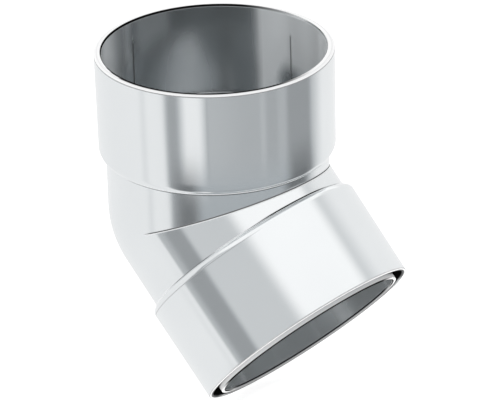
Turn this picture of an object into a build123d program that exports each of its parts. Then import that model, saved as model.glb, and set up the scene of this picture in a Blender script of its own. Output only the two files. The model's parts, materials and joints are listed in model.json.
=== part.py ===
from build123d import *
from math import radians, sqrt, tan
import os

# Elbow of a round rainwater downpipe, moulded in one piece of rigid PVC.
# The upper end is a plain socket: the pipe from above pushes down into it.
# The lower end has two walls. A sleeve goes round the outside of the pipe below, and a spigot
# inside it drips into that pipe, whose end fits in the ring-shaped slot between the two.
# The origin is the centre of the upper socket's seat, where the pipe's end comes to rest.
# The socket's axis is +Z. The lower axis crosses it below the seat and leaves towards +X and -Z,
# so the heel of the bend is at -X and its throat is at +X.

# The pipe that the elbow joins
pipe_radius = 37.5
pipe_wall = 1.8
pipe_depth = 32.5
pipe_clearance = 0.2

# The bend: two straight runs that meet in a sharp crease at the throat and a ball at the heel
bend_angle = 45
body_wall = 2.4
seat_web = 4.2
crease_fillet = 0.25

# The upper socket, whose wall thickens a little towards its mouth
socket_land = 2.8
socket_shoulder_radius = 3.0
socket_mouth_wall = 2.6
socket_root_wall = 2.2
socket_rim_bevel_width = 0.95
socket_rim_bevel_drop = 0.4
socket_lead_in_width = 0.3
socket_lead_in_depth = 0.9

# The four low ribs that centre the pipe in the socket, with a ramp at their upper ends
rib_count = 4
rib_width = 0.6
rib_setback = 7.0
rib_ramp = 1.5
rib_root = 0.3
rib_crest_fillet = 0.12

# The lower end: sleeve outside the pipe below, spigot inside it
sleeve_land = 4.2
sleeve_shoulder_radius = 2.5
sleeve_mouth_wall = 1.65
sleeve_root_wall = 2.0
sleeve_lead_in_width = 0.2
sleeve_lead_in_depth = 0.6
rim_edge = 0.25
spigot_clearance = 0.9
spigot_wall = 1.3
spigot_overhang = 0.55

# Radii that follow from them
bore_radius = pipe_radius + pipe_clearance
body_radius = pipe_radius
lumen_radius = body_radius - body_wall
socket_mouth_radius = bore_radius + socket_mouth_wall
socket_root_radius = bore_radius + socket_root_wall
sleeve_mouth_radius = bore_radius + sleeve_mouth_wall
sleeve_root_radius = bore_radius + sleeve_root_wall
spigot_radius = pipe_radius - pipe_wall - spigot_clearance
spigot_lumen_radius = spigot_radius - spigot_wall
rib_crest_radius = bore_radius - pipe_clearance

# Heights along either axis, from the crossing of the axes to the mouth
throat_height = body_radius * tan(radians(bend_angle / 2))
socket_crease_height = throat_height + socket_land
sleeve_crease_height = throat_height + sleeve_land
seat_height = socket_crease_height + seat_web
mouth_height = seat_height + pipe_depth
spigot_height = mouth_height + spigot_overhang

# The lower end is drawn upright, like the socket, and then turned down along its own axis
lower_end = Rot(0, 180 - bend_angle, 0)


def turned(outline):
    """A solid turned about Z from a closed outline of radius and height."""
    return revolve(Plane.XZ * make_face(outline), Axis.Z)


def shoulder(root_radius, crease_height, radius):
    """The arc that draws a mouth's wall in to the body: it leaves the wall without a corner."""
    drop = root_radius - body_radius
    run = sqrt(2 * radius * drop - drop**2)
    start = (root_radius, crease_height + run)
    end = (body_radius, crease_height)
    return TangentArc(start, end, tangent=(0, -1))


def heel(radius):
    """The ball between the two runs: half a disc swung about the bend's axis."""
    half_disc = make_face(
        [
            Line((0, -radius), (0, radius)),
            ThreePointArc((0, radius), (-radius, 0), (0, -radius)),
        ]
    )
    return revolve(half_disc, Axis((0, 0, 0), (0, -1, 0)), revolution_arc=bend_angle)


def socket_outside():
    """Upper run and socket, filled: body, shoulder, drafted wall and bevelled rim."""
    arc = shoulder(socket_root_radius, socket_crease_height, socket_shoulder_radius)
    rim = mouth_height - socket_rim_bevel_drop
    flat = socket_mouth_radius - socket_rim_bevel_width
    below = Polyline(arc @ 1, (body_radius, 0), (0, 0), (0, mouth_height))
    above = Polyline((0, mouth_height), (flat, mouth_height), (socket_mouth_radius, rim), arc @ 0)
    return turned([arc, below, above])


def socket_inside():
    """What the upper run leaves empty: water way, pipe seat, straight bore and lead-in."""
    bore_end = mouth_height - socket_lead_in_depth
    lead_in = bore_radius + socket_lead_in_width
    outline = Polyline(
        (0, 0),
        (lumen_radius, 0),
        (lumen_radius, seat_height),
        (bore_radius, seat_height),
        (bore_radius, bore_end),
        (lead_in, mouth_height),
        (0, mouth_height),
        close=True,
    )
    return turned(outline)


def sleeve_outside():
    """Lower run, drawn upright: body, shoulder, sleeve, the slot for the pipe's end, spigot."""
    arc = shoulder(sleeve_root_radius, sleeve_crease_height, sleeve_shoulder_radius)
    lead_in = bore_radius + sleeve_lead_in_width
    below = Polyline(arc @ 1, (body_radius, 0), (0, 0), (0, spigot_height))
    above = Polyline(
        (0, spigot_height),
        (spigot_radius - rim_edge, spigot_height),
        (spigot_radius, spigot_height - rim_edge),
        (spigot_radius, seat_height),
        (bore_radius, seat_height),
        (bore_radius, mouth_height - sleeve_lead_in_depth),
        (lead_in, mouth_height),
        (sleeve_mouth_radius - rim_edge, mouth_height),
        (sleeve_mouth_radius, mouth_height - rim_edge),
        arc @ 0,
    )
    return turned([arc, below, above])


def sleeve_inside():
    """What the lower run leaves empty: the water way, and the funnel down to the spigot."""
    outline = Polyline(
        (0, 0),
        (lumen_radius, 0),
        (lumen_radius, sleeve_crease_height),
        (spigot_lumen_radius, seat_height),
        (spigot_lumen_radius, spigot_height),
        (0, spigot_height),
        close=True,
    )
    return turned(outline)


def rib():
    """One rib on the bore's wall at +X: a low blade with a ramp on top and a rounded crest."""
    top = mouth_height - rib_setback
    slope = rib_ramp / (bore_radius - rib_crest_radius)
    side = Polyline(
        (bore_radius + rib_root, seat_height),
        (rib_crest_radius, seat_height),
        (rib_crest_radius, top - rib_ramp),
        (bore_radius + rib_root, top + rib_root * slope),
        close=True,
    )
    blade = extrude(Plane.XZ * make_face(side), amount=rib_width / 2, both=True)
    crest = blade.edges().filter_by(Axis.Z).sort_by(Axis.X)[:2]
    return fillet(crest, rib_crest_fillet)


def crease_edges(solid, direction, crease_height):
    """The ring-shaped inner corner where a shoulder meets the body, on the axis given."""
    centre = Vector(*direction) * crease_height
    rings = solid.edges().filter_by(GeomType.CIRCLE)
    rings = rings.filter_by(lambda edge: abs(edge.radius - body_radius) < body_wall / 2)
    return rings.filter_by(lambda edge: (edge.arc_center - centre).length < seat_web / 4)


def elbow():
    """The whole moulding in one solid, made about the crossing of the axes and moved to its seat."""
    lower_axis = (lower_end * Pos(0, 0, 1)).position
    outside = socket_outside() + heel(body_radius) + lower_end * sleeve_outside()
    creases = crease_edges(outside, (0, 0, 1), socket_crease_height)
    creases += crease_edges(outside, lower_axis, sleeve_crease_height)
    outside = fillet(creases, crease_fillet)
    inside = socket_inside() + heel(lumen_radius) + lower_end * sleeve_inside()
    moulding = outside - inside
    for index in range(rib_count):
        moulding += Rot(0, 0, index * 360 / rib_count) * rib()
    return Pos(0, 0, -seat_height) * moulding


os.makedirs("parts", exist_ok=True)
part = elbow()
part.label = "elbow"
export_step(part, "parts/elbow.step")
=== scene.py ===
import json
from types import SimpleNamespace

import bpy
import numpy as np
from bpy.props import FloatProperty, FloatVectorProperty, IntProperty, PointerProperty
from bpy.types import Operator, Panel, PropertyGroup
from mathutils import Matrix, Vector


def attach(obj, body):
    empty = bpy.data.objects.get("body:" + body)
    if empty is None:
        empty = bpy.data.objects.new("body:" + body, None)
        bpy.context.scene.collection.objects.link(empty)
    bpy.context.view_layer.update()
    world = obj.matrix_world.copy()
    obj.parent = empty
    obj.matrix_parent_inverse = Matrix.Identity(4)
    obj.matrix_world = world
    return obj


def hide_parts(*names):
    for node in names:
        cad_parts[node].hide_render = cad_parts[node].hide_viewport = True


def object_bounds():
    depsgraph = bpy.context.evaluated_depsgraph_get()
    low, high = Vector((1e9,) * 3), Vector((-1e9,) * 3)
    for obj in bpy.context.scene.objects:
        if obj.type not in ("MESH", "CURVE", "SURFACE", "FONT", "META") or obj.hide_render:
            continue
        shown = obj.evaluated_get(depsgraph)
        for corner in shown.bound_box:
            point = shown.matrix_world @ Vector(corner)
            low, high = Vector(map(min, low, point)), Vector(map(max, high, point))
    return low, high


bl_info = {
    "name": "Downpipe elbow",
    "version": (1, 0, 0),
    "blender": (4, 5, 0),
    "location": "View3D > Sidebar > Elbow",
    "description": "Builds the smooth moulding of a round downpipe elbow around its packed frame",
    "category": "Object",
}

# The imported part: its mounts give the sizes that the pipes fix, and the bend
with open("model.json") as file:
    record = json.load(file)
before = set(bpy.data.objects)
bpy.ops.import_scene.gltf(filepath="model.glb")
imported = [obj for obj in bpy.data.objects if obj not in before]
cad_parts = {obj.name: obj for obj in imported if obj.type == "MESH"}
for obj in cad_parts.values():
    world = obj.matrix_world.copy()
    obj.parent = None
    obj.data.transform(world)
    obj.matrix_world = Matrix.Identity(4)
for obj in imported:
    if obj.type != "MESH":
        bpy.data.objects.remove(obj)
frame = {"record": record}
CAD_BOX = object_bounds()
MM = 0.001
MOUNTS = {mount["name"]: mount for mount in frame["record"]["mounts"]}
SOCKET = MOUNTS["upper_socket"]
SPIGOT = MOUNTS["lower_spigot"]
BORE_RADIUS = SOCKET["dims"]["r_mm"] * MM
BORE_LENGTH = SOCKET["dims"]["length_mm"] * MM
SPIGOT_RADIUS = SPIGOT["dims"]["r_mm"] * MM
LOWER_AXIS = np.array(SPIGOT["axis"])
BEND_ANGLE = float(np.arctan2(LOWER_AXIS[0], -LOWER_AXIS[2]))
# Where the lower axis, followed back from the spigot, meets the socket's axis
CROSSING = SPIGOT["pos_m"][2] - SPIGOT["pos_m"][0] * LOWER_AXIS[2] / LOWER_AXIS[0]
SEAT_HEIGHT = -CROSSING


def length(name, description, default_mm):
    """A length property in metres, written in millimetres."""
    default = default_mm * MM
    return FloatProperty(name=name, description=description, default=default, unit="LENGTH", precision=5)


def bearing(name, description, degrees):
    """An angle property in radians, written in degrees."""
    default = float(np.radians(degrees))
    return FloatProperty(name=name, description=description, default=default, subtype="ANGLE")


def share(name, description, default):
    """A property between nought and one."""
    return FloatProperty(name=name, description=description, default=default, min=0, max=1)


def paint(name, description, default):
    """A colour property."""
    return FloatVectorProperty(
        name=name, description=description, default=default, subtype="COLOR", size=3, min=0, max=1,
    )


class ElbowSizes(PropertyGroup):
    """Sizes of the moulding that its mounts don't give."""

    body_wall: length("Body wall", "Wall of the short body between the two ends", 2.4)
    crease_fillet: length("Crease fillet", "Rounding where a shoulder meets the body", 0.25)
    mitre_fillet: length("Mitre fillet", "Rounding of the crease at the throat of the bend", 0.22)
    pipe_clearance: length("Pipe clearance", "Gap between a pipe and its bore", 0.2)

    socket_mouth_wall: length("Socket mouth wall", "Wall of the socket at its mouth", 2.6)
    socket_root_wall: length("Socket root wall", "Wall of the socket above its shoulder", 2.2)
    socket_web: length("Socket web", "From the upper pipe's seat down to the socket's shoulder crease", 4.2)
    socket_shoulder_radius: length("Socket shoulder radius", "Radius of the socket's shoulder arc", 3.0)
    socket_bevel_width: length("Rim bevel width", "Width of the bevel outside the socket's rim", 0.95)
    socket_bevel_drop: length("Rim bevel drop", "Height of the bevel outside the socket's rim", 0.4)
    socket_lead_width: length("Socket lead-in width", "Width of the bevel inside the socket's rim", 0.3)
    socket_lead_depth: length("Socket lead-in depth", "Depth of the bevel inside the socket's rim", 0.9)

    rib_width: length("Rib width", "Width of a rib inside the socket", 0.6)
    rib_setback: length("Rib setback", "Distance from the socket's mouth to a rib's top", 7.0)
    rib_ramp: length("Rib ramp", "Length of the ramp on top of a rib", 1.5)

    sleeve_mouth_wall: length("Sleeve mouth wall", "Wall of the sleeve at its mouth", 1.65)
    sleeve_root_wall: length("Sleeve root wall", "Wall of the sleeve below its shoulder", 2.0)
    sleeve_web: length("Sleeve web", "From the lower pipe's end up to the sleeve's shoulder crease", 2.8)
    sleeve_shoulder_radius: length("Sleeve shoulder radius", "Radius of the sleeve's shoulder arc", 2.5)
    sleeve_lead_width: length("Sleeve lead-in width", "Width of the bevel inside the sleeve's rim", 0.2)
    sleeve_lead_depth: length("Sleeve lead-in depth", "Depth of the bevel inside the sleeve's rim", 0.6)
    spigot_wall: length("Spigot wall", "Wall of the spigot inside the sleeve", 1.3)
    spigot_overhang: length("Spigot overhang", "How far the spigot stands out past the sleeve", 0.55)
    spigot_slant: length("Spigot slant", "How far the spigot's end is cut out of square, each way", 0.5)
    spigot_reach: length("Spigot reach", "How much further the trimmed end stands out", 0.12)
    edge_round: length("Edge rounding", "Rounding of the moulding's outer edges", 0.15)
    fine_step: length("Fine step", "Spacing of the mesh's rings at an edge line", 0.1)
    coarse_step: length("Coarse step", "Spacing of the mesh's rings far from one", 2.5)

    rib_count: IntProperty(name="Ribs", description="Ribs round the socket's bore", default=4, min=0)
    around: IntProperty(name="Divisions around", description="Faces round the pipe", default=208, min=24)


class ElbowFinish(PropertyGroup):
    """Colours and finish of the silver-grey PVC, and the colours of its painted shade and painted light."""

    silver: paint("Silver", "Colour of the pigmented PVC", (0.84, 0.86, 0.87))
    silver_dark: paint("Silver, dark", "Where the pigment lies thinner", (0.81, 0.83, 0.84))
    # Painted shade: the darker colour inside the bore, the slot and the bend
    painted_shade_inside: paint("Silver inside", "Colour of the duller inside", (0.38, 0.40, 0.41))
    # Painted light: colour of the pale streaks of painted reflection inside
    painted_light_streak_colour: paint("Silver streak", "Colour of the paler streaks inside", (0.93, 0.95, 0.96))
    # Colour of the pale matt rims, and of the painted highlights on shoulders, creases and the mitre
    rim: paint("Rim", "Colour of the matt rims", (0.99, 0.99, 0.99))
    # Painted shade: colour of the thin dark lines along edges and creases
    painted_shade_line: paint("Edge line", "Colour of the thin lines along edges and creases", (0.006, 0.006, 0.006))
    sheen_roughness: share("Roughness", "Blur of the reflections", 0.09)
    inside_roughness: share("Inside roughness", "Blur of the reflections inside", 0.17)


class StageSettings(PropertyGroup):
    """Camera and floor."""

    camera_azimuth: bearing("Azimuth", "Direction of the camera, from -Y towards +X", 43.11)
    camera_elevation: bearing("Elevation", "Height of the camera as an angle", 24.49)
    camera_roll: bearing("Roll", "Turn of the picture", -1.84)
    camera_distance: FloatProperty(
        name="Distance", description="From the bend to the camera", unit="LENGTH", default=2.02227,
    )
    aim_right: length("Aim right", "Picture centre, right of the bend", 10.37)
    aim_up: length("Aim up", "Picture centre, above the bend", -0.61)
    lens: FloatProperty(name="Lens", description="Focal length in millimetres", default=432.0)
    floor_gap: length("Floor gap", "From the lowest point of the elbow down to the floor", 0.5)
    floor_size: FloatProperty(name="Floor size", description="Side of the floor", unit="LENGTH", default=6.0)


# How fast the spacing of the mesh's rings grows with the distance from an edge line
SPACING_GROWTH = 0.4
# Rounded corners: the turn of one step, and how far past the arc a supporting ring stands
ARC_STEP = np.radians(18)
ARC_SUPPORT = 0.04 * MM
# Points of a shoulder's arc, and of the bend's arc
SHOULDER_POINTS = 13
BEND_POINTS = 25
# Columns of points across a rib, in rib widths from its middle
RIB_COLUMNS = (-0.8, -0.55, -0.5, -0.44, -0.3, 0, 0.3, 0.44, 0.5, 0.55, 0.8)
# Rings of the body near its ends and near the bend, as distances from each
ROWS_AT_END = np.array([0, 0.12, 0.4])[:, None] * MM
ROWS_AT_BEND = np.array([1.2, 0.6, 0.3, 0.2, 0.1])[:, None] * MM
ROWS_BETWEEN = np.linspace(0, 1, 6)[1:-1, None]
# The mitre reaches its full fillet at this share of the radius from the bend's axis
MITRE_FADE = 0.08
# How close to a wall's face a point lies to count as on it, and as near it
ON_WALL = 0.02 * MM
NEAR_WALL = 0.05 * MM


def form_of(sizes):
    """Radii, and heights from the bend, that several parts of the moulding share."""
    body = BORE_RADIUS - sizes.pipe_clearance
    mouth = SEAT_HEIGHT + BORE_LENGTH + sizes.socket_lead_depth
    return SimpleNamespace(
        body=body,
        lumen=body - sizes.body_wall,
        spigot_lumen=SPIGOT_RADIUS - sizes.spigot_wall,
        socket_root=BORE_RADIUS + sizes.socket_root_wall,
        socket_rim=BORE_RADIUS + sizes.socket_mouth_wall,
        sleeve_root=BORE_RADIUS + sizes.sleeve_root_wall,
        sleeve_rim=BORE_RADIUS + sizes.sleeve_mouth_wall,
        socket_crease=SEAT_HEIGHT - sizes.socket_web,
        sleeve_crease=SEAT_HEIGHT - sizes.sleeve_web,
        mouth=mouth,
        tip=mouth + sizes.spigot_overhang + sizes.spigot_reach,
    )


def graded(start, end, places, fine, coarse):
    """Points of a straight run, closer together near the places where an edge line lies: the spacing
    grows with the distance to the nearest place, held between the fine and the coarse step."""
    run = np.linalg.norm(end - start)
    part = np.linspace(0, 1, int(run / (0.5 * fine)) + 2)
    points = start + (end - start) * part[:, None]
    nearest = np.linalg.norm(points[:, None] - places, axis=2).min(axis=1)
    density = 1 / np.clip(SPACING_GROWTH * nearest, fine, coarse)
    steps = (density[1:] + density[:-1]) / 2 * np.diff(part) * run
    count = np.concatenate([[0], np.cumsum(steps)])
    pieces = max(1, int(np.ceil(count[-1])))
    chosen = np.interp(np.linspace(0, count[-1], pieces, endpoint=False), count, part)
    return start + (end - start) * chosen[:, None]


def rounded_path(corners, fillets, places, sizes):
    """Profile of radius and height: straight runs between the corners, each corner replaced by an
    arc of its own fillet radius. The arc touches both runs at fillet times the tangent of half the
    turn, and its points are the corner's tangent points swung about the arc's centre."""
    corners = np.array(corners, float)
    points = [corners[:1]]
    for index in range(1, len(corners) - 1):
        before = corners[index] - corners[index - 1]
        after = corners[index + 1] - corners[index]
        before /= np.linalg.norm(before)
        after /= np.linalg.norm(after)
        turn = np.arctan2(before[0] * after[1] - before[1] * after[0], before @ after)
        if fillets[index] == 0 or abs(turn) < 0.01:
            points.append(corners[index:index + 1])
            continue
        reach = fillets[index] * np.tan(abs(turn) / 2)
        start = corners[index] - before * reach
        side = np.array([-before[1], before[0]]) * np.sign(turn)
        centre = start + side * fillets[index]
        steps = max(3, int(np.ceil(abs(turn) / ARC_STEP)))
        angle = np.linspace(0, turn, steps + 1)[:, None]
        spoke = start - centre
        arc = centre + np.cos(angle) * spoke + np.sin(angle) * np.array([-spoke[1], spoke[0]])
        points.append((start - before * ARC_SUPPORT)[None])
        points.append(arc)
        points.append((corners[index] + after * (reach + ARC_SUPPORT))[None])
    points.append(corners[-1:])
    path = np.concatenate(points)
    runs = [graded(a, b, places, sizes.fine_step, sizes.coarse_step) for a, b in zip(path[:-1], path[1:])]
    return np.concatenate(runs + [path[-1:]])


def shoulder_arc(root_radius, radius, body_radius, crease):
    """Points from a wall's root in to the body: an arc that leaves the wall along it and turns until
    its fall, radius (1 - cos a), is the difference between the two radii."""
    sweep = np.arccos(1 - (root_radius - body_radius) / radius)
    angle = np.linspace(0, sweep, SHOULDER_POINTS)
    height = crease + radius * (np.sin(sweep) - np.sin(angle))
    return np.stack([root_radius - radius * (1 - np.cos(angle)), height], axis=1)


def angles_around(sizes):
    """Even divisions round the pipe, with extra ones across each rib in place of those close to them."""
    even = np.linspace(0, 2 * np.pi, sizes.around, endpoint=False)
    if sizes.rib_count == 0:
        return even
    ribs = np.arange(sizes.rib_count) * 2 * np.pi / sizes.rib_count
    rib_angle = sizes.rib_width / BORE_RADIUS
    extra = (ribs[:, None] + np.array(RIB_COLUMNS) * rib_angle).ravel() % (2 * np.pi)
    nearest = np.abs((even[:, None] - extra + np.pi) % (2 * np.pi) - np.pi).min(axis=1)
    return np.sort(np.concatenate([even[nearest > 0.3 * rib_angle], extra]))


def rib_height(path, angle, sizes, form):
    """How far the bore's wall stands in at a rib: a flat-topped bell across it (one minus the eighth
    power of the distance from its middle in half widths), times a ramp along it."""
    radius, height = path[:, :1], path[:, 1:]
    if sizes.rib_count == 0:
        return np.zeros((len(path), len(angle)))
    on_bore = (np.abs(radius - BORE_RADIUS) < 1e-7) & (height > SEAT_HEIGHT) & (height < form.mouth)
    spacing = 2 * np.pi / sizes.rib_count
    across = np.abs((angle + spacing / 2) % spacing - spacing / 2) * BORE_RADIUS / (sizes.rib_width / 2)
    bell = np.clip(1 - across ** 8, 0, 1)
    along = np.clip((form.mouth - sizes.rib_setback - height) / sizes.rib_ramp, 0, 1)
    return on_bore * sizes.pipe_clearance * along * bell


def turned(path, angle, ribs=0.0):
    """Surface of a profile turned about Z: (r cos a, r sin a, h), less the ribs' height in r."""
    radius, height = path[:, :1] - ribs, path[:, 1:]
    return np.stack(np.broadcast_arrays(radius * np.cos(angle), radius * np.sin(angle), height), axis=-1)


def lowered(points):
    """The same surface on the lower axis: x goes along the bend's inner side, z along the lower axis."""
    across = np.array([np.cos(BEND_ANGLE), 0, np.sin(BEND_ANGLE)])
    side = np.array([0, 1.0, 0])
    return points[..., :1] * across + points[..., 1:2] * side + points[..., 2:] * LOWER_AXIS


def straight_rows(start, stop):
    """Heights from an end of the body down to the bend, close together at both."""
    top, bottom = start - ROWS_AT_END[-1], stop + ROWS_AT_BEND[0]
    between = top + ROWS_BETWEEN * (bottom - top)
    return np.concatenate([start - ROWS_AT_END + 0 * stop, between, stop + ROWS_AT_BEND])


def bend_surface(radius, fillet, ends, angle):
    """Body between two heights, round the bend, with the mitre's painted shade line and the painted
    highlight below it.
    Seen from the side, each line along the pipe is two straight runs joined by an arc that turns
    through the bend: at the heel it is swung about the bend's own axis, so the heel is a ball, and
    at the throat it is a small fillet in the mitre. With x the line's distance towards the throat
    and q the arc's signed radius, the arc is (x - q)(1, t) + q (cos s, sin s), where t is the
    tangent of half the bend."""
    x = radius * np.cos(angle)
    y = radius * np.sin(angle)
    fade = np.clip(x / (MITRE_FADE * radius), 0, 1)
    q = np.where(x < 0, x, -fillet * smooth(0, 1, fade))
    meet = (x - q) * np.tan(BEND_ANGLE / 2)
    swing = np.linspace(0, BEND_ANGLE, BEND_POINTS)[:, None]
    arc_parts = np.broadcast_arrays((x - q) + q * np.cos(swing), y, meet + q * np.sin(swing))
    arc = np.stack(arc_parts, axis=-1)
    upper = np.stack(np.broadcast_arrays(x, y, straight_rows(ends[0], meet)), axis=-1)
    lower = lowered(np.stack(np.broadcast_arrays(x, y, straight_rows(ends[1], meet)[::-1]), axis=-1))
    first, past = len(upper), len(upper) + len(arc)
    # Painted shade along the mitre, and a painted highlight just below it
    line = np.zeros((past + len(lower), 1))
    line[first:past] = MITRE_LINE
    line[[first - 1, past]] = 0.6 * MITRE_LINE
    light = np.zeros_like(line)
    light[past + 1:past + 3] = MITRE_LIGHT
    return np.concatenate([upper, arc, lower]), line * fade, light * fade


def closed_mesh(name, rings, marks):
    """A mesh from a grid of points that closes both ways, like a ring: each point joins the next
    one round the pipe and the next one along the wall. Marks are numbers that its points keep."""
    rows, columns = rings.shape[:2]
    index = np.arange(rows * columns).reshape(rows, columns)
    right = np.roll(index, -1, axis=1)
    down = np.roll(index, -1, axis=0)
    corner = np.roll(right, -1, axis=0)
    faces = np.stack([index, right, corner, down], axis=-1).reshape(-1, 4)
    points = rings.reshape(-1, 3)
    a, b, c, d = (points[faces[:, k]] for k in range(4))
    volume = np.einsum("ij,ij->i", a, np.cross(b, c)).sum() + np.einsum("ij,ij->i", a, np.cross(c, d)).sum()
    if volume < 0:
        faces = faces[:, ::-1]
    mesh = bpy.data.meshes.new(name)
    mesh.vertices.add(len(points))
    mesh.vertices.foreach_set("co", points.astype(np.float32).ravel())
    mesh.loops.add(faces.size)
    mesh.loops.foreach_set("vertex_index", faces.astype(np.int32).ravel())
    mesh.polygons.add(len(faces))
    mesh.polygons.foreach_set("loop_start", np.arange(0, faces.size, 4, dtype=np.int32))
    mesh.polygons.foreach_set("use_smooth", np.ones(len(faces), dtype=bool))
    mesh.update(calc_edges=True)
    for mark, values in marks.items():
        kept = mesh.attributes.new(mark, "FLOAT", "POINT")
        kept.data.foreach_set("value", values.astype(np.float32).ravel())
    piece = bpy.data.objects.new(name, mesh)
    bpy.context.scene.collection.objects.link(piece)
    return piece


def smooth(low, high, value):
    """Smooth step from nought at low to one at high."""
    part = np.clip((value - low) / (high - low), 0, 1)
    return part * part * (3 - 2 * part)


# Marks that the mesh's points keep, which the material reads: painted shade lines, matt rims with painted
# highlights, painted shade inside, and painted light streaks
MARKS = ("painted_shade_line", "matt_rim_and_painted_highlight", "inside", "painted_light_streak")
# Directions round either end, in degrees from the throat of the bend. The two fronts face the camera.
SOCKET_FRONT = -47
SOCKET_LEFT = -138
MOUTH_FRONT = -42
SLEEVE_LEFT = -84
CREASE_THROAT = -8
CREASE_OUTLINE = -132
# Painted shade lines and painted highlights along edges and creases: their strength, and half their width in
# millimetres
SOCKET_BEVEL_LINE = (0.12, 0.06)
SOCKET_RIM_LINE = (0.7, 0.1)
SOCKET_CREASE_LINE = (1.0, 0.1)
SOCKET_SHOULDER_LIGHT = (0.8, 0.38)
SPIGOT_FAR_LINE = (1.0, 0.2)
SLEEVE_RIM_LINE = (0.5, 0.2)
SLEEVE_FAR_LINE = (1.0, 0.4)
SLEEVE_CREASE_LINE = (0.85, 0.12)
SLEEVE_CREASE_LIGHT = (1.0, 0.2)
SLEEVE_THROAT_LINE = (1.0, 0.3)
SLEEVE_ROOT_LINE = (0.4, 0.08)
SLEEVE_SHOULDER_LIGHT = (0.7, 0.38)
# How far a line's edge takes to fade, in millimetres
LINE_FADE = 0.12
# Strengths of the other painted shade lines, painted highlights and painted shades
MITRE_LINE = 0.9
MITRE_LIGHT = 0.7
RIB_LINE = 0.75
LEDGE_SHADE = 0.35
SPIGOT_FACE_SHADE = 0.55
SLEEVE_FACE_SHADE = 0.6
SLEEVE_END_SHADE = 0.85
# Painted shade inside the spigot's water way
WATER_WAY_PAINTED_SHADE = 0.2
# Painted light streak inside the bend
BEND_STREAK = 0.4
# Pale streaks of painted light inside, and the foot's painted shade, as a direction and a half width in
# degrees; the broad one ends between two widths
BROAD_STREAK = (66, 37, 48)
EDGE_STREAK = (104, 6)
LEFT_STREAK = (210, 15)
FOOT_SHADE = (92, 8)
FLAME_STREAK = 146
SPIGOT_STREAK = (114, 6)


def line_at(path, place, strength, half_width):
    """The given strength within half the width of a place on the profile, fading past it."""
    distance = np.linalg.norm(path - np.array(place), axis=1)[:, None]
    return strength * (1 - smooth(half_width * MM, (half_width + LINE_FADE) * MM, distance))


def facing(angle, centre):
    """Cosine of the turn from a direction in degrees: one towards it and minus one away from it."""
    return np.cos(angle - np.radians(centre))


def angle_from(angle, centre):
    """Turn from a direction in degrees, between minus and plus half a turn."""
    return (angle - np.radians(centre) + np.pi) % (2 * np.pi) - np.pi


def bump(angle, centre, half_width):
    """A bell round a direction in degrees: one at the centre, half at the half width."""
    return np.exp(-np.log(2) * (angle_from(angle, centre) / np.radians(half_width)) ** 2)


def darkest(*lines):
    """The strongest of several marks at each point."""
    return np.maximum.reduce(np.broadcast_arrays(*lines))


def streaks(path, angle, form):
    """Painted light down the bore: paler streaks of painted reflection, by direction: a broad one at the
    right of the bend's near side, a narrow bright edge to it, one at the left, and a flame that spreads
    towards the seat. The foot of the broad one's edge is darker, a painted shade."""
    depth = (form.mouth - path[:, 1:]) / (form.mouth - SEAT_HEIGHT)
    centre, solid, end = BROAD_STREAK
    broad = 1 - smooth(np.radians(solid), np.radians(end), np.abs(angle_from(angle, centre)))
    spread_right = 5 + 6 * smooth(0.4, 0.8, depth)
    spread_left = 8 + 6 * smooth(0.3, 0.8, depth)
    spread = np.where(angle_from(angle, FLAME_STREAK) < 0, spread_right, spread_left)
    flame = bump(angle, FLAME_STREAK, spread) * smooth(0.15, 0.5, depth)
    edge, left = bump(angle, *EDGE_STREAK), bump(angle, *LEFT_STREAK)
    high = 0.1 * (1 - smooth(0.2, 0.8, depth))
    foot = bump(angle, *FOOT_SHADE) * smooth(0.5, 0.8, depth)
    return np.clip(0.85 * broad + 0.7 * edge + 0.5 * flame + 0.9 * left + high - foot, 0, 1)


def lip_line(path, angle, form, inner):
    """Painted shade: a dark line inside the socket's rim. It covers the lead-in and the lip beside it,
    which is widest at the front, and fades out at the right."""
    radius, height = path[:, :1], path[:, 1:]
    front = 0.5 + 0.5 * facing(angle, SOCKET_FRONT)
    left = 0.5 + 0.5 * facing(angle, SOCKET_LEFT)
    near, far = smooth(0.6, 0.9, front), smooth(0.6, 0.9, 1 - front)
    lead_in = (radius < inner + ON_WALL) * smooth(form.mouth - 0.85 * MM, form.mouth - 0.7 * MM, height)
    width = (0.1 + 1.05 * near + 0.05 * far) * MM
    lip = (height > form.mouth - 0.1 * MM) * (1 - smooth(width, width + 0.1 * MM, radius - inner))
    return np.maximum(lead_in, lip) * smooth(0.05 - 0.05 * near, 0.4 - 0.15 * near, left)


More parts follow.
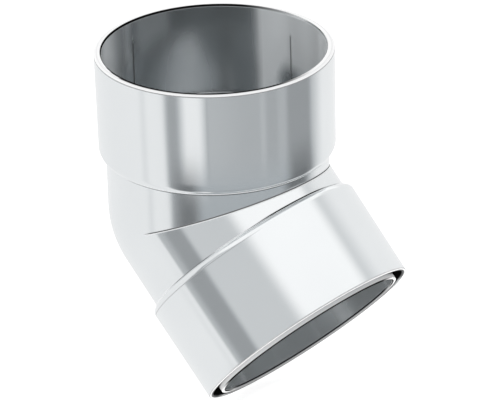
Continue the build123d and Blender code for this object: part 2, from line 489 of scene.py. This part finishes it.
def socket_marks(path, angle, sizes, form):
    """Painted shade lines, pale matt rim and painted highlight, painted shade inside, and painted light
    streaks of the socket.
    """
    radius, height = path[:, :1], path[:, 1:]
    inner = BORE_RADIUS + sizes.socket_lead_width
    bevel = (form.socket_rim - sizes.socket_bevel_width, form.mouth)
    below_bevel = (form.socket_rim, form.mouth - sizes.socket_bevel_drop - 0.15 * MM)
    below_crease = (form.body, form.socket_crease - 0.12 * MM)
    on_shoulder = (form.body + 1.25 * MM, form.socket_crease + 0.6 * MM)
    at_left = smooth(0.6, 0.8, 0.5 + 0.5 * facing(angle, SOCKET_LEFT))
    ledge = (np.abs(height - SEAT_HEIGHT) < ON_WALL) & (radius < BORE_RADIUS - 0.1 * MM)
    # Painted shade lines: inside the rim, along the bevel, under the rim and the crease, along the ribs, and
    # on the seat's ledge
    dark = darkest(
        lip_line(path, angle, form, inner),
        line_at(path, bevel, *SOCKET_BEVEL_LINE),
        line_at(path, below_bevel, *SOCKET_RIM_LINE),
        line_at(path, below_crease, *SOCKET_CREASE_LINE) * (0.55 - 0.3 * at_left),
        RIB_LINE * rib_height(path, angle, sizes, form) / sizes.pipe_clearance,
        LEDGE_SHADE * ledge,
    )
    # Pale matt rim, and a painted highlight on the shoulder
    rim = (height > form.mouth - 0.5 * MM) & (radius > inner + ON_WALL)
    matt = np.maximum(rim, line_at(path, on_shoulder, *SOCKET_SHOULDER_LIGHT))
    # Painted shade inside the bore, with painted light streaks on it
    inside = smooth(ON_WALL, 0.3 * MM, inner - radius)
    return np.broadcast_arrays(dark, matt, inside, streaks(path, angle, form) * inside)


def spigot_lines(path, near, far, form):
    """Painted shade lines round the spigot's end: over its face at the near side, along its inner edge at
    the two ends of the mouth, and inside it at the far side, whose face gets a painted shade too."""
    radius, height = path[:, :1], path[:, 1:]
    ends = 1 - near - far
    inner, tip = form.spigot_lumen, form.tip
    near_line = smooth(tip - 0.34 * MM, tip - 0.22 * MM, height) * (radius > inner + 0.1 * MM)
    end_line = smooth(tip - 0.3 * MM, tip - 0.18 * MM, height)
    end_line = end_line * (1 - smooth(0.3 * MM, 0.42 * MM, radius - inner))
    far_line = line_at(path, (inner, tip - 0.6 * MM), *SPIGOT_FAR_LINE)
    face = SPIGOT_FACE_SHADE * far * (height > tip - 0.4 * MM)
    return np.maximum(near * near_line + ends * end_line + far * far_line, face)


def sleeve_crease_marks(path, angle, form):
    """Painted shade line and painted highlight in the sleeve's crease. The highlight takes the line's
    place along the elbow's left outline, and most of it once more between that and the front."""
    crease = (form.body, form.sleeve_crease)
    across = facing(angle, CREASE_OUTLINE)
    outline = smooth(0.68, 0.85, across)
    faint = smooth(-0.15, 0.0, across) * (1 - smooth(0.25, 0.4, across))
    line = (1 - outline - 0.9 * faint) * line_at(path, crease, *SLEEVE_CREASE_LINE)
    throat = smooth(0.9, 0.97, facing(angle, CREASE_THROAT)) * line_at(path, crease, *SLEEVE_THROAT_LINE)
    light = (0.9 * outline + 0.5 * faint) * line_at(path, crease, *SLEEVE_CREASE_LIGHT)
    return np.maximum(line, throat), light


def sleeve_marks(path, angle, sizes, form):
    """Painted shade lines, pale matt rims and painted highlights, painted shade inside and painted light
    streaks of the lower end. Near and far are the sides of its mouth towards the camera and away from it."""
    radius, height = path[:, :1], path[:, 1:]
    mouth, tip = form.mouth, form.tip
    near = smooth(0.2, 0.5, facing(angle, MOUTH_FRONT))
    far = smooth(0.2, 0.5, -facing(angle, MOUTH_FRONT))
    at_left = smooth(0.6, 0.8, facing(angle, SLEEVE_LEFT))
    fall = form.sleeve_root - form.body
    run = np.sqrt(2 * sizes.sleeve_shoulder_radius * fall - fall ** 2)
    root = (form.sleeve_root, form.sleeve_crease + run)
    on_shoulder = (form.body + 0.5 * fall, form.sleeve_crease + 0.66 * run)
    crease_line, crease_light = sleeve_crease_marks(path, angle, form)

    past_seat = height > SEAT_HEIGHT - NEAR_WALL
    in_slot = past_seat & (radius > SPIGOT_RADIUS - NEAR_WALL) & (radius < BORE_RADIUS + 0.15 * MM)
    slot_shade = in_slot & (height < mouth - ON_WALL)
    slot_shade = slot_shade & ((height < tip - 1.5 * MM) | (radius > BORE_RADIUS - NEAR_WALL))
    on_spigot = (radius < SPIGOT_RADIUS + ON_WALL) & (height > tip - 2 * MM)
    on_face = (height > mouth - 0.45 * MM) & (radius > BORE_RADIUS + 0.1 * MM)
    end_shade = SLEEVE_END_SHADE * (1 - near - far) * (radius < BORE_RADIUS + 0.8 * MM)
    # Painted shade lines and painted shade: round the spigot, along the rim, in the crease, at the root, in
    # the slot and on the face
    dark = darkest(
        on_spigot * spigot_lines(path, near, far, form),
        line_at(path, (form.sleeve_rim, mouth), *SLEEVE_RIM_LINE),
        far * line_at(path, (form.sleeve_rim - 0.1 * MM, mouth), *SLEEVE_FAR_LINE),
        crease_line,
        at_left * line_at(path, root, *SLEEVE_ROOT_LINE),
        slot_shade,
        on_face * np.maximum(SLEEVE_FACE_SHADE * far, end_shade),
    )

    # Pale matt rims, and painted highlights on the shoulder and in the crease
    rim_depth = 0.36 * MM + 1.1 * MM * (radius > form.spigot_lumen + 0.5 * MM)
    spigot_rim = on_spigot & (height > tip - rim_depth)
    sleeve_rim = (height > mouth - 0.45 * MM) & (radius > BORE_RADIUS - ON_WALL)
    sleeve_rim = sleeve_rim & (radius < form.sleeve_rim - ON_WALL)
    lights = np.maximum(line_at(path, on_shoulder, *SLEEVE_SHOULDER_LIGHT), crease_light)
    matt = np.maximum(spigot_rim | sleeve_rim, lights)
    # Painted shade in the slot and the water way, and painted light streaks on them
    slot = past_seat & (radius > SPIGOT_RADIUS - NEAR_WALL) & (radius < BORE_RADIUS + NEAR_WALL)
    water_way = radius < SPIGOT_RADIUS - 0.5 * MM
    inside = (slot + WATER_WAY_PAINTED_SHADE * water_way) * (1 - matt)
    pale = 0.4 * inside + 0.3 * water_way * bump(angle, *SPIGOT_STREAK)
    return np.broadcast_arrays(dark, matt, inside, pale)


def socket_path(sizes, form):
    """Profile of the upper end: from the crease up its outside, over the rim and down the bore."""
    edge = sizes.edge_round
    arc = shoulder_arc(form.socket_root, sizes.socket_shoulder_radius, form.body, form.socket_crease)[::-1]
    rib_top = form.mouth - sizes.rib_setback
    corners = [(form.body, form.socket_crease - 1.5 * sizes.crease_fillet)] + arc.tolist() + [
        (form.socket_rim, form.mouth - sizes.socket_bevel_drop),
        (form.socket_rim - sizes.socket_bevel_width, form.mouth),
        (BORE_RADIUS + sizes.socket_lead_width, form.mouth),
        (BORE_RADIUS, form.mouth - sizes.socket_lead_depth),
        (BORE_RADIUS, rib_top),
        (BORE_RADIUS, rib_top - sizes.rib_ramp),
        (BORE_RADIUS, SEAT_HEIGHT),
        (form.lumen, SEAT_HEIGHT),
        (form.lumen, form.socket_crease),
    ]
    fillets = [0, sizes.crease_fillet] + [0] * (len(arc) - 1)
    fillets += [edge, edge, edge, 1.5 * edge, 0, 0, 1.5 * edge, 1.5 * edge, 0]
    places = [(form.body, form.socket_crease), (form.socket_rim, form.mouth), (BORE_RADIUS, form.mouth)]
    return rounded_path(corners, fillets, np.array(places), sizes)


def sleeve_path(sizes, form):
    """Profile of the lower end, drawn upright: from the water way out through the spigot, round its
    end and the slot, over the sleeve's rim and back to the crease."""
    edge = sizes.edge_round
    margin = 1.5 * sizes.crease_fillet
    arc = shoulder_arc(form.sleeve_root, sizes.sleeve_shoulder_radius, form.body, form.sleeve_crease)
    corners = [
        (form.lumen, form.sleeve_crease - margin),
        (form.lumen, form.sleeve_crease),
        (form.spigot_lumen, SEAT_HEIGHT),
        (form.spigot_lumen, form.tip),
        (SPIGOT_RADIUS, form.tip),
        (SPIGOT_RADIUS, SEAT_HEIGHT),
        (BORE_RADIUS, SEAT_HEIGHT),
        (BORE_RADIUS, form.mouth - sizes.sleeve_lead_depth),
        (BORE_RADIUS + sizes.sleeve_lead_width, form.mouth),
        (form.sleeve_rim, form.mouth),
    ] + arc.tolist() + [(form.body, form.sleeve_crease - margin)]
    fillets = [0, 5 * edge, 5 * edge, edge, edge, 1.5 * edge, 1.5 * edge, 1.5 * edge, edge, 3 * edge]
    fillets += [0] * (len(arc) - 1) + [sizes.crease_fillet, 0]
    places = [
        (form.body, form.sleeve_crease),
        (form.spigot_lumen, form.tip),
        (SPIGOT_RADIUS, form.tip),
        (form.sleeve_rim, form.mouth),
        (form.spigot_lumen, form.tip - 0.6 * MM),
        arc[0],
    ]
    return rounded_path(corners, fillets, np.array(places), sizes)


def slanted(rings, path, angle, sizes, form):
    """The lower end with its spigot cut out of square: its height grows with the cosine of the turn
    from the mouth's front, from nothing at the slot's floor to the full slant at its end."""
    on_spigot = (path[:, :1] < SPIGOT_RADIUS + ON_WALL) & (path[:, 1:] > SEAT_HEIGHT)
    along = np.clip((path[:, 1:] - SEAT_HEIGHT) / (form.tip - SEAT_HEIGHT), 0, 1)
    rings[..., 2] += on_spigot * along * sizes.spigot_slant * facing(angle, MOUTH_FRONT)
    return rings


def moulding_rings(sizes):
    """All rings of points of the moulding, from the outer crease up over the socket's rim, down its
    bore, through the bend, out of the spigot, round the slot and the sleeve, and back up outside,
    with the marks of its painted shade lines, matt rims and painted highlights, painted shade inside and
    painted light streaks."""
    form = form_of(sizes)
    angle = angles_around(sizes)
    socket, sleeve = socket_path(sizes, form), sleeve_path(sizes, form)
    upper = turned(socket, angle, rib_height(socket, angle, sizes, form))
    lower = lowered(slanted(turned(sleeve, angle), sleeve, angle, sizes, form))
    fillet = sizes.mitre_fillet
    inside, _, _ = bend_surface(form.lumen, 1.5 * fillet, (socket[-1, 1], sleeve[0, 1]), angle)
    outside, line, light = bend_surface(form.body, fillet, (socket[0, 1], sleeve[-1, 1]), angle)
    rings = np.concatenate([upper, inside[1:-1], lower, outside[-2:0:-1]])

    bare = np.zeros((len(inside) - 2, len(angle)))
    outside_bare = np.zeros((len(outside) - 2, len(angle)))
    parts = (
        socket_marks(socket, angle, sizes, form),
        # Inside the bend: painted shade, and a painted light streak
        (bare, bare, bare + 1, bare + BEND_STREAK),
        sleeve_marks(sleeve, angle, sizes, form),
        # Outside the bend: the mitre's painted shade line and painted highlight
        (line[-2:0:-1], light[-2:0:-1], outside_bare, outside_bare),
    )
    marks = {name: np.concatenate(rows) for name, rows in zip(MARKS, zip(*parts))}
    return rings + np.array([0, 0, CROSSING]), marks


def node(tree, kind, name, **sockets):
    """A node with its inputs set by name, or by number after an underscore. A value is a number, a
    colour or a link's source."""
    made = tree.nodes.new(kind)
    made.name = made.label = name
    for key, value in sockets.items():
        socket = made.inputs[int(key[1:])] if key[0] == "_" else made.inputs[key.replace("_", " ")]
        if isinstance(value, bpy.types.NodeSocket):
            tree.links.new(value, socket)
        else:
            socket.default_value = value
    return made


def math_node(tree, operation, name, first, second=0.0):
    """A Math node's result."""
    made = node(tree, "ShaderNodeMath", name, _0=first, _1=second)
    made.operation = operation
    return made.outputs[0]


def mark(tree, name):
    """A number that the mesh's points keep."""
    made = node(tree, "ShaderNodeAttribute", name)
    made.attribute_name = name
    return made.outputs["Fac"]


def towards(tree, name, factor, start, end):
    """A number that goes from start to end as the factor goes from nought to one."""
    mixed = node(tree, "ShaderNodeMix", name, Factor=factor)
    for key, value in (("A", start), ("B", end)):
        if isinstance(value, bpy.types.NodeSocket):
            tree.links.new(value, mixed.inputs[key])
        else:
            mixed.inputs[key].default_value = value
    return mixed.outputs["Result"]


def colour_towards(tree, name, factor, start, end):
    """A colour that goes from the linked start to the plain end as the factor goes to one."""
    mixed = node(tree, "ShaderNodeMix", name, _0=factor)
    mixed.data_type = "RGBA"
    tree.links.new(start, mixed.inputs[6])
    mixed.inputs[7].default_value = (*end, 1)
    return mixed.outputs[2]


def noise(tree, name, place, scale, detail):
    """A Noise Texture's number."""
    return node(tree, "ShaderNodeTexNoise", name, Vector=place, Scale=scale, Detail=detail).outputs["Fac"]


def colour_ramp(tree, name, factor, stops):
    """A colour by a number, through stops of position and colour."""
    made = node(tree, "ShaderNodeValToRGB", name, Fac=factor)
    ramp = made.color_ramp.elements
    ramp.remove(ramp[0])
    for index, (position, stop_colour) in enumerate(stops):
        stop = ramp[0] if index == 0 else ramp.new(position)
        stop.position = position
        stop.color = (*stop_colour, 1)
    return made.outputs["Color"]


def silver_pvc(finish):
    """Glossy PVC with a metallic pigment: the pigment lies in slow clouds, its flakes make a fine
    grain, and the moulded skin is very slightly wavy, which softens the reflections unevenly. The
    inside is rougher and darker with painted shade and has pale streaks of painted light, the rims are pale
    and matt with painted highlights beside them, and thin lines of painted shade lie along edges and
    creases."""
    material = bpy.data.materials.new("silver_pvc")
    material.use_nodes = True
    tree = material.node_tree
    shader = tree.nodes["Principled BSDF"]
    place = node(tree, "ShaderNodeTexCoord", "place").outputs["Object"]
    clouds = noise(tree, "pigment clouds", place, 28.0, 3.0)
    flakes = noise(tree, "pigment flakes", place, 2600.0, 2.0)
    waves = noise(tree, "skin waves", place, 60.0, 1.0)
    pigment = colour_ramp(tree, "pigment colour", clouds, ((0.3, finish.silver_dark), (0.7, finish.silver)))
    line, matt, inside, painted_light_streak = (mark(tree, name) for name in MARKS)
    # Laid over the pigment: painted shade inside, painted light streaks, matt rims and painted highlights,
    # and painted shade lines
    layers = (
        ("inside colour", inside, finish.painted_shade_inside),
        ("streak colour", painted_light_streak, finish.painted_light_streak_colour),
        ("rim colour", matt, finish.rim),
        ("line colour", line, finish.painted_shade_line),
    )
    skin_colour = pigment
    for name, where, layer_colour in layers:
        skin_colour = colour_towards(tree, name, where, skin_colour, layer_colour)
    tree.links.new(skin_colour, shader.inputs["Base Color"])
    smoother, rougher = finish.sheen_roughness * 0.85, finish.sheen_roughness * 1.2
    blur = towards(tree, "reflection blur", clouds, smoother, rougher)
    dull = towards(tree, "inside roughness", inside, blur, finish.inside_roughness)
    flat = math_node(tree, "MAXIMUM", "line or rim", line, matt)
    # The painted light streaks are less metallic, so they stay pale
    metal = towards(tree, "streak metallic", painted_light_streak, 0.92, 0.2)
    coat = towards(tree, "coat inside", inside, 0.2, 0.0)
    links = {
        "Roughness": towards(tree, "roughness", flat, dull, 0.6),
        "Metallic": towards(tree, "metallic", flat, metal, 0.0),
        "Specular IOR Level": towards(tree, "shine", flat, 0.5, 0.0),
        "Coat Weight": towards(tree, "coat", flat, coat, 0.0),
    }
    for name, socket in links.items():
        tree.links.new(socket, shader.inputs[name])
    grain = node(tree, "ShaderNodeBump", "flake grain", Strength=0.02, Distance=0.02 * MM, Height=flakes)
    skin = node(tree, "ShaderNodeBump", "moulded skin", Strength=0.25, Distance=0.05 * MM, Height=waves)
    tree.links.new(grain.outputs["Normal"], skin.inputs["Normal"])
    tree.links.new(skin.outputs["Normal"], shader.inputs["Normal"])
    shader.inputs["IOR"].default_value = 1.53
    shader.inputs["Coat Roughness"].default_value = 0.08
    return material


# The room as the glossy skin mirrors it, in degrees round from the camera's side (positive to its
# right) and up from level: a grey front between two pale walls, under a bright ceiling.
# A panel runs between two azimuths and two elevations. Its sides lean by the given degrees of
# azimuth for each degree of elevation, from LEAN_START up to the elevation where the lean stops,
# and its edges are as soft as the two widths say.
ROOM_LEVEL = 0.50
LEAN_START = -25
# Tint of the room's dark parts, which its pale parts lose
COOL = (0.93, 1.0, 1.05)
ROOM_PANELS = {
    # name: (from azimuth, to azimuth, lean, lean stop, side softness,
    #        from elevation, to elevation, edge softness, level)
    "upper front": (-200, 200, 0.0, 0, 1, 3, 120, 7, 0.66),
    "left wall": (-250, -50, -2.3, -14, 4, -120, 60, 10, 0.92),
    "right wall": (113, 250, 0.0, 0, 14, -120, 60, 10, 0.94),
    "left post": (-78, -72, 0.0, 0, 4, -120, -20, 3, 0.81),
    "dark gap": (-48, -37, -0.72, 20, 4, -120, 22, 7, 0.36),
    "dark gap, raised": (-48, -37, -0.72, 20, 4, -5, 22, 7, 0.46),
    "bright strip": (-33, -12.3, -0.6, 30, 5.5, -120, 0, 10, 0.95),
    "dark gap, low": (-66, -49, 0.0, 0, 4, -14, 4, 3, 0.33),
    "front, right": (12, 72, 0.0, 0, 22, -120, -8, 6, 0.44),
    "front post": (-9.6, -8.0, 0.0, 0, 1.2, -120, -15, 4, 0.42),
    "front light": (43, 48, 0.0, 0, 2, -120, -8, 6, 0.50),
    "front shade": (50, 61, 0.0, 0, 3, -120, -8, 6, 0.40),
    "side gap": (72, 103, 0.0, 0, 4, -120, 0, 14, 0.32),
    "viewer": (-10, 75, 0.0, 0, 12, 6, 29, 5, 0.36),
    "ceiling": (-250, 250, 0.0, 0, 1, 38.5, 120, 5, 1.12),
    "back wall": (150, 210, 0.0, 0, 8, 12, 60, 4, 1.15),
    "back wall, left": (-210, -150, 0.0, 0, 8, 12, 60, 4, 1.15),
}

# The grey card under the elbow, a painted shadow: it stands for the elbow's shadow on the floor and
# darkens what the elbow mirrors of the floor beside it. It is a part of a disc between two azimuths, in
# degrees, with soft sides and a soft ring, in metres. Only its right part, between two azimuths of its own,
# reaches in past the corner's radius.
CARD_SIDES = (-39, 95)
CARD_SIDE_SOFTNESS = (8, 11)
CARD_RADIUS = 0.235
CARD_RING_SOFTNESS = 0.02
CARD_RIGHT = (-4, 170)
CARD_CORNER_RADIUS = 0.092
# Its grey by distance from the elbow, in metres: the painted shadow
CARD_LEVELS = ((0.0, 0.25), (0.07, 0.28), (0.10, 0.25), (0.15, 0.28), (0.25, 0.30))
# Its brighter front, where the painted shadow is lighter: two azimuths and a softness, and the brightness
# there and beside it
CARD_FRONT = (-19, 68, 8)
CARD_FRONT_BRIGHTNESS = 1.5
CARD_SIDE_BRIGHTNESS = 0.5


def step_between(tree, name, value, start, end, kind="SMOOTHSTEP"):
    """Nought before the start and one past the end."""
    made = node(tree, "ShaderNodeMapRange", name, Value=value, From_Min=start, From_Max=end)
    made.interpolation_type = kind
    return made.outputs["Result"]


def soft_band(tree, name, value, low, high, soft, soft_end=None):
    """One between two angles in degrees, nought outside, with a smooth step of twice the softness at
    each side."""
    soft_end = soft_end or soft
    rise = step_between(tree, name + " from", value, *np.radians([low - soft, low + soft]))
    fall = step_between(tree, name + " to", value, *np.radians([high + soft_end, high - soft_end]))
    return math_node(tree, "MULTIPLY", name, rise, fall)


def azimuth_and_height(tree, place, settings):
    """Azimuth of a place or direction, counted from the camera's, and its height. The azimuth is the
    arc tangent of the two level parts once they are turned to the camera."""
    facing_camera = node(tree, "ShaderNodeVectorRotate", "from the camera", Vector=place)
    facing_camera.rotation_type = "Z_AXIS"
    facing_camera.inputs["Angle"].default_value = -settings.camera_azimuth
    parts = node(tree, "ShaderNodeSeparateXYZ", "parts", Vector=facing_camera.outputs[0]).outputs
    ahead = math_node(tree, "MULTIPLY", "towards the camera", parts["Y"], -1.0)
    return math_node(tree, "ARCTAN2", "azimuth", parts["X"], ahead), parts["Z"]


def room_level(tree, azimuth, elevation):
    """Brightness of the room: its panels laid one after another over its even level."""
    level = ROOM_LEVEL
    start = float(np.radians(LEAN_START))
    for name, (left, right, lean, stop, side, low, high, edge, bright) in ROOM_PANELS.items():
        rise = node(tree, "ShaderNodeClamp", name + " rise", Value=elevation)
        rise.inputs["Min"].default_value = start
        rise.inputs["Max"].default_value = np.radians(max(stop, LEAN_START))
        above = math_node(tree, "SUBTRACT", name + " above", rise.outputs[0], start)
        shift = math_node(tree, "MULTIPLY", name + " lean", above, -lean)
        straight = math_node(tree, "ADD", name + " azimuth", azimuth, shift)
        across = soft_band(tree, name + " across", straight, left, right, side)
        along = soft_band(tree, name + " along", elevation, low, high, edge)
        inside = math_node(tree, "MULTIPLY", name + " inside", across, along)
        level = towards(tree, name, inside, level, bright)
    return level


def scaled(tree, name, colour, brightness):
    """A colour times a number."""
    made = node(tree, "ShaderNodeVectorMath", name, _0=colour)
    made.operation = "SCALE"
    tree.links.new(brightness, made.inputs["Scale"])
    return made.outputs[0]


def shader_towards(tree, name, factor, start, end):
    """A shader that goes from start to end as the factor goes from nought to one."""
    ends = {"_1": start.outputs[0], "_2": end.outputs[0]}
    return node(tree, "ShaderNodeMixShader", name, Fac=factor, **ends).outputs[0]


def room_world(settings):
    """World: the studio room, whose dark parts are a little blue, and plain white where the camera
    looks past the elbow. Elevation is the arc sine of the direction's height."""
    world = bpy.data.worlds.new("studio_room")
    world.use_nodes = True
    tree = world.node_tree
    tree.nodes.clear()
    place = node(tree, "ShaderNodeTexCoord", "direction").outputs["Generated"]
    azimuth, height = azimuth_and_height(tree, place, settings)
    level = room_level(tree, azimuth, math_node(tree, "ARCSINE", "elevation", height))
    clamped = node(tree, "ShaderNodeClamp", "tint by level", Value=level).outputs[0]
    cool = node(tree, "ShaderNodeRGB", "cool").outputs[0]
    cool.default_value = (*COOL, 1)
    tint = colour_towards(tree, "tint", clamped, cool, (1.0, 1.0, 1.0))
    room = node(tree, "ShaderNodeBackground", "room", Color=scaled(tree, "tinted level", tint, level))
    white = node(tree, "ShaderNodeBackground", "white", Color=(1, 1, 1, 1))
    looking = node(tree, "ShaderNodeLightPath", "looking").outputs["Is Camera Ray"]
    shown = shader_towards(tree, "shown", looking, room, white)
    node(tree, "ShaderNodeOutputWorld", "world", Surface=shown)
    return world


def pale_floor_material():
    """Floor: matt white that lights up just enough to stay white under the room's light."""
    material = bpy.data.materials.new("pale_floor")
    material.use_nodes = True
    shader = material.node_tree.nodes["Principled BSDF"]
    shader.inputs["Base Color"].default_value = (0.6, 0.6, 0.6, 1)
    shader.inputs["Roughness"].default_value = 1.0
    shader.inputs["Specular IOR Level"].default_value = 0.0
    shader.inputs["Emission Color"].default_value = (1, 1, 1, 1)
    shader.inputs["Emission Strength"].default_value = 0.8
    return material


def card_shape(tree, azimuth, distance):
    """One on the grey card and nought past its sides, its ring and its corner."""
    soft = CARD_RING_SOFTNESS
    ring = step_between(tree, "ring", distance, CARD_RADIUS + soft, CARD_RADIUS - soft)
    corner_ends = (CARD_CORNER_RADIUS - soft, CARD_CORNER_RADIUS + soft)
    corner = step_between(tree, "past the corner", distance, *corner_ends, kind="LINEAR")
    sector = soft_band(tree, "sector", azimuth, *CARD_SIDES, *CARD_SIDE_SOFTNESS)
    at_right = soft_band(tree, "right of the corner", azimuth, *CARD_RIGHT, CARD_SIDE_SOFTNESS[0])
    past_corner = math_node(tree, "MAXIMUM", "kept at the corner", corner, at_right)
    sector = math_node(tree, "MULTIPLY", "sector without corner", sector, past_corner)
    return math_node(tree, "MULTIPLY", "inside", sector, ring)


def painted_shadow_card(settings):
    """Grey card under the elbow, which only mirrors see: a painted shadow of the elbow on the floor. Its
    grey goes by the distance from the elbow and is brighter at the front, and past its edges it lets the
    room through."""
    material = bpy.data.materials.new("painted_shadow_card")
    material.use_nodes = True
    tree = material.node_tree
    tree.nodes.clear()
    place = node(tree, "ShaderNodeTexCoord", "place").outputs["Object"]
    azimuth, _ = azimuth_and_height(tree, place, settings)
    length_node = node(tree, "ShaderNodeVectorMath", "distance", _0=place)
    length_node.operation = "LENGTH"
    distance = length_node.outputs["Value"]
    stops = [(radius, [level * part for part in COOL]) for radius, level in CARD_LEVELS]
    grey_level = colour_ramp(tree, "grey by distance", distance, stops)
    front = soft_band(tree, "front", azimuth, *CARD_FRONT)
    brightness = towards(tree, "front level", front, CARD_SIDE_BRIGHTNESS, CARD_FRONT_BRIGHTNESS)
    grey_colour = scaled(tree, "grey by side", grey_level, brightness)
    grey = node(tree, "ShaderNodeEmission", "grey", Color=grey_colour)
    through = node(tree, "ShaderNodeBsdfTransparent", "through")
    shown = shader_towards(tree, "shown", card_shape(tree, azimuth, distance), through, grey)
    node(tree, "ShaderNodeOutputMaterial", "card", Surface=shown)
    return material


def level_square(name, half, height, material):
    """A level square in one face, centred over the origin."""
    mesh = bpy.data.meshes.new(name)
    corners = [(-half, -half, height), (half, -half, height), (half, half, height), (-half, half, height)]
    mesh.from_pydata(corners, [], [(0, 1, 2, 3)])
    mesh.materials.append(material)
    square = bpy.data.objects.new(name, mesh)
    bpy.context.scene.collection.objects.link(square)
    return square


def stage_camera(settings):
    """Camera aimed beside the bend. Its back is the direction from the bend to it; right and up are
    level and upright directions turned about the back by the roll."""
    azimuth, rise, roll = settings.camera_azimuth, settings.camera_elevation, settings.camera_roll
    back = np.array([np.sin(azimuth) * np.cos(rise), -np.cos(azimuth) * np.cos(rise), np.sin(rise)])
    level_right = np.cross(-back, (0, 0, 1.0))
    level_right /= np.linalg.norm(level_right)
    right = np.cos(roll) * level_right + np.sin(roll) * np.cross(back, level_right)
    up = np.cross(back, right)
    aim = np.array([0, 0, CROSSING]) + settings.aim_right * right + settings.aim_up * up
    place = Matrix.Translation(Vector(aim + settings.camera_distance * back))
    data = bpy.data.cameras.new("camera")
    data.lens = settings.lens
    data.sensor_width = 36.0
    data.clip_end = 20.0
    camera = bpy.data.objects.new("camera", data)
    camera.matrix_world = place @ Matrix(np.stack([right, up, back], axis=1)).to_4x4()
    bpy.context.scene.collection.objects.link(camera)
    return camera


class ELBOW_OT_moulding(Operator):
    """Build the elbow's moulding as one smooth closed surface and hide the plain one"""

    bl_idname = "elbow.moulding"
    bl_label = "Build moulding"

    def execute(self, context):
        piece = closed_mesh("elbow_moulding", *moulding_rings(context.scene.elbow_sizes))
        piece.data.materials.append(silver_pvc(context.scene.elbow_finish))
        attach(piece, "root")
        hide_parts("elbow")
        return {"FINISHED"}


class ELBOW_OT_stage(Operator):
    """Set up the pale floor, the grey card of painted shadow, the room and the camera"""

    bl_idname = "elbow.stage"
    bl_label = "Set stage"

    def execute(self, context):
        settings = context.scene.elbow_stage
        height = CAD_BOX[0][2] - settings.floor_gap
        floor = level_square("floor", settings.floor_size / 2, height, pale_floor_material())
        floor.visible_glossy = False
        # The grey card: a painted shadow of the elbow on the floor, which only reflections show
        card = level_square("card", CARD_RADIUS + CARD_RING_SOFTNESS, 0, painted_shadow_card(settings))
        card.location = (0, 0, height - settings.floor_gap)
        for ray in ("camera", "diffuse", "transmission", "volume_scatter", "shadow"):
            setattr(card, "visible_" + ray, False)
        context.scene.world = room_world(settings)
        context.scene.view_settings.view_transform = "Standard"
        context.scene.camera = stage_camera(settings)
        return {"FINISHED"}


class ELBOW_PT_panel(Panel):
    """The elbow's pieces and their sizes"""

    bl_idname = "ELBOW_PT_panel"
    bl_label = "Downpipe elbow"
    bl_space_type = "VIEW_3D"
    bl_region_type = "UI"
    bl_category = "Elbow"

    def draw(self, context):
        scene = context.scene
        listed = (
            ("elbow.moulding", (scene.elbow_sizes, scene.elbow_finish)),
            ("elbow.stage", (scene.elbow_stage,)),
        )
        for operator, groups in listed:
            self.layout.operator(operator)
            for group in groups:
                column = self.layout.column(align=True)
                for name in group.bl_rna.properties.keys():
                    if name not in ("rna_type", "name"):
                        column.prop(group, name)


CLASSES = (ElbowSizes, ElbowFinish, StageSettings, ELBOW_OT_moulding, ELBOW_OT_stage, ELBOW_PT_panel)


def register():
    for each in CLASSES:
        bpy.utils.register_class(each)
    bpy.types.Scene.elbow_sizes = PointerProperty(type=ElbowSizes)
    bpy.types.Scene.elbow_finish = PointerProperty(type=ElbowFinish)
    bpy.types.Scene.elbow_stage = PointerProperty(type=StageSettings)


def unregister():
    del bpy.types.Scene.elbow_sizes
    del bpy.types.Scene.elbow_finish
    del bpy.types.Scene.elbow_stage
    for each in reversed(CLASSES):
        bpy.utils.unregister_class(each)


def main():
    register()
    bpy.ops.elbow.moulding()
    bpy.ops.elbow.stage()


if __name__ == "__main__":
    main()
